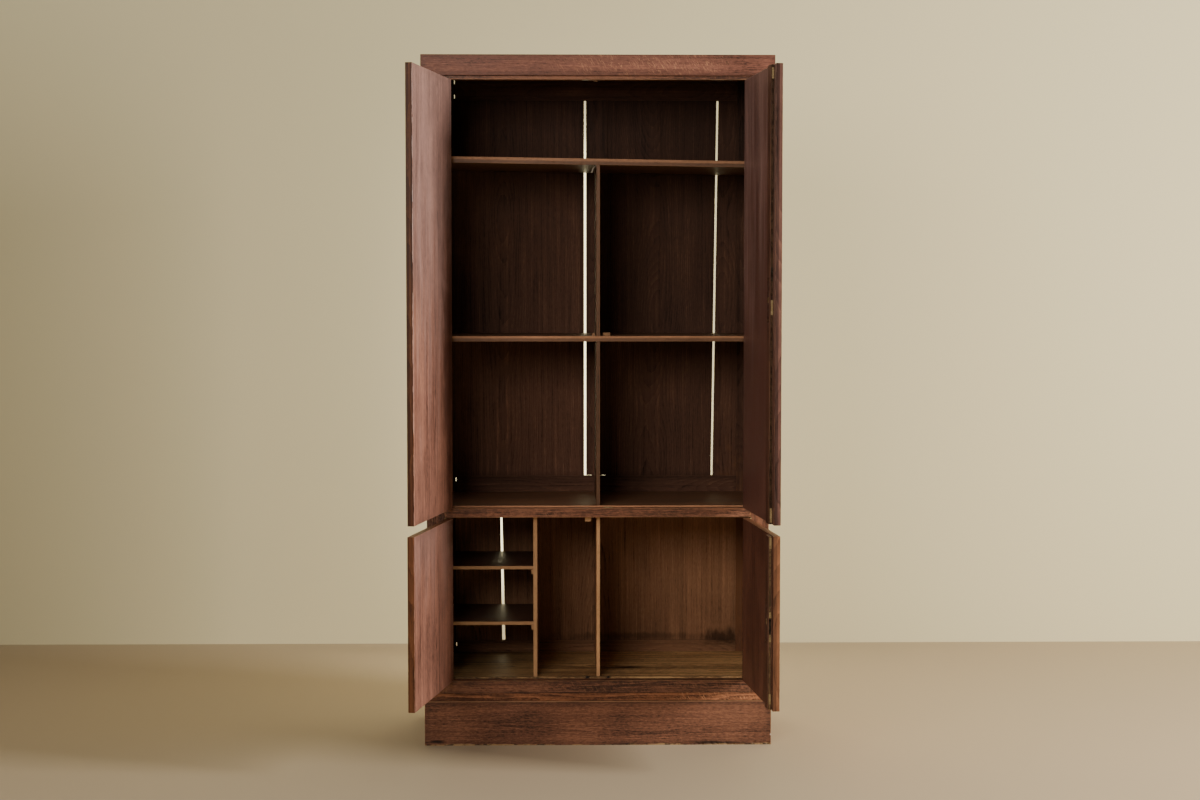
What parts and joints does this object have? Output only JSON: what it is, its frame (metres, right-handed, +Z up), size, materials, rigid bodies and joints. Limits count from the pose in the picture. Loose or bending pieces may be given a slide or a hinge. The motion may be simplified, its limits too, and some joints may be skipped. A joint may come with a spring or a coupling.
{
  "type": "marquetry cabinet",
  "caption": "Tall oak cabinet with marquetry outside, a pair of tall doors over a pair of short ones on continuous hinges, shelves, dividers and a framed back.",
  "frame": {"origin": "on the floor, on the plinth's underside, in the middle of the cabinet's width and in the plane of the front frame's face", "axes": "+X to the right for someone standing in front, +Y from the front to the back, +Z up"},
  "size_m": [1.0264, 0.9035, 2],
  "materials": {
    "outside_oak": "red-brown stained and polished oak veneer",
    "inside_oak": "dark brown stained oak, dull",
    "shelf_oak": "brown oak with worn front edges",
    "divider_oak": "pale unstained oak",
    "door_oak": "pinkish brown oak, thinly polished",
    "brass": "old brass, dulled",
    "iron": "dark iron, lightly rusted"
  },
  "bodies": {
    "case": {"plinth_front": "outside_oak", "plinth_left": "outside_oak", "plinth_right": "outside_oak", "base_cap_front": "outside_oak", "base_cap_left": "outside_oak", "base_cap_right": "outside_oak", "cornice_front": "outside_oak", "cornice_left": "outside_oak", "cornice_right": "outside_oak", "side_left": "outside_oak", "side_right": "outside_oak", "stile_left": "outside_oak", "stile_right": "outside_oak", "top_rail": "outside_oak", "middle_rail": "outside_oak", "bottom_rail": "outside_oak", "top_board": "inside_oak", "upper_floor": "inside_oak", "lower_floor": "shelf_oak", "top_shelf": "shelf_oak", "middle_shelf": "shelf_oak", "small_shelf_upper": "shelf_oak", "small_shelf_lower": "shelf_oak", "divider_upper": "shelf_oak", "divider_middle": "shelf_oak", "divider_lower_centre": "divider_oak", "divider_lower_left": "divider_oak", "back_stile_left": "inside_oak", "back_stile_right": "inside_oak", "back_muntin": "inside_oak", "back_rail_top": "inside_oak", "back_rail_middle": "inside_oak", "back_rail_bottom": "inside_oak", "back_board_upper_left": "inside_oak", "back_board_upper_right": "inside_oak", "back_board_upper_edge": "inside_oak", "back_board_lower_left": "inside_oak", "back_board_lower_right": "inside_oak", "hinge_frame_upper_left": "brass", "hinge_frame_upper_right": "brass", "hinge_frame_lower_left": "brass", "hinge_frame_lower_right": "brass", "keep_plate": "brass", "door_stop": "shelf_oak"},
    "upper_left_door": {"door_upper_left": "door_oak", "hinge_door_upper_left": "brass"},
    "upper_right_door": {"door_upper_right": "door_oak", "hinge_door_upper_right": "brass", "lock_strip_upper": "door_oak", "lock_case_upper": "iron"},
    "lower_left_door": {"door_lower_left": "door_oak", "hinge_door_lower_left": "brass"},
    "lower_right_door": {"door_lower_right": "door_oak", "hinge_door_lower_right": "brass", "lock_strip_lower": "door_oak", "lock_case_lower": "iron"},
    "upper_top_rod": {"rod_upper_top": "iron"},
    "upper_bottom_rod": {"rod_upper_bottom": "iron"},
    "lower_top_rod": {"rod_lower_top": "iron"},
    "lower_bottom_rod": {"rod_lower_bottom": "iron"}
  },
  "joints": [
    {"name": "upper_left_hinge", "type": "hinge", "parent": "case", "child": "upper_left_door", "pos_m": [-0.4427, -0.0035, 0.6951], "axis": [0, 0, -1], "range_deg": [-100.1, 70]},
    {"name": "upper_right_hinge", "type": "hinge", "parent": "case", "child": "upper_right_door", "pos_m": [0.4427, -0.0035, 0.6951], "axis": [0, 0, 1], "range_deg": [-95.9, 74]},
    {"name": "lower_left_hinge", "type": "hinge", "parent": "case", "child": "lower_left_door", "pos_m": [-0.4427, -0.0035, 0.1904], "axis": [0, 0, -1], "range_deg": [-100.2, 70]},
    {"name": "lower_right_hinge", "type": "hinge", "parent": "case", "child": "lower_right_door", "pos_m": [0.4427, -0.0035, 0.1904], "axis": [0, 0, 1], "range_deg": [-95.8, 74]},
    {"name": "upper_top_rod_slide", "type": "slide", "parent": "upper_right_door", "child": "upper_top_rod", "axis": [0, 0, 1], "range_m": [0, 0.014]},
    {"name": "upper_bottom_rod_slide", "type": "slide", "parent": "upper_right_door", "child": "upper_bottom_rod", "axis": [0, 0, -1], "range_m": [0, 0.014]},
    {"name": "lower_top_rod_slide", "type": "slide", "parent": "lower_right_door", "child": "lower_top_rod", "axis": [0, 0, 1], "range_m": [0, 0.014]},
    {"name": "lower_bottom_rod_slide", "type": "slide", "parent": "lower_right_door", "child": "lower_bottom_rod", "axis": [0, 0, -1], "range_m": [0, 0.014]}
  ],
  "couplings": [
    {"joint": "upper_bottom_rod_slide", "follows": "upper_top_rod_slide", "ratio": 1},
    {"joint": "lower_bottom_rod_slide", "follows": "lower_top_rod_slide", "ratio": 1}
  ]
}
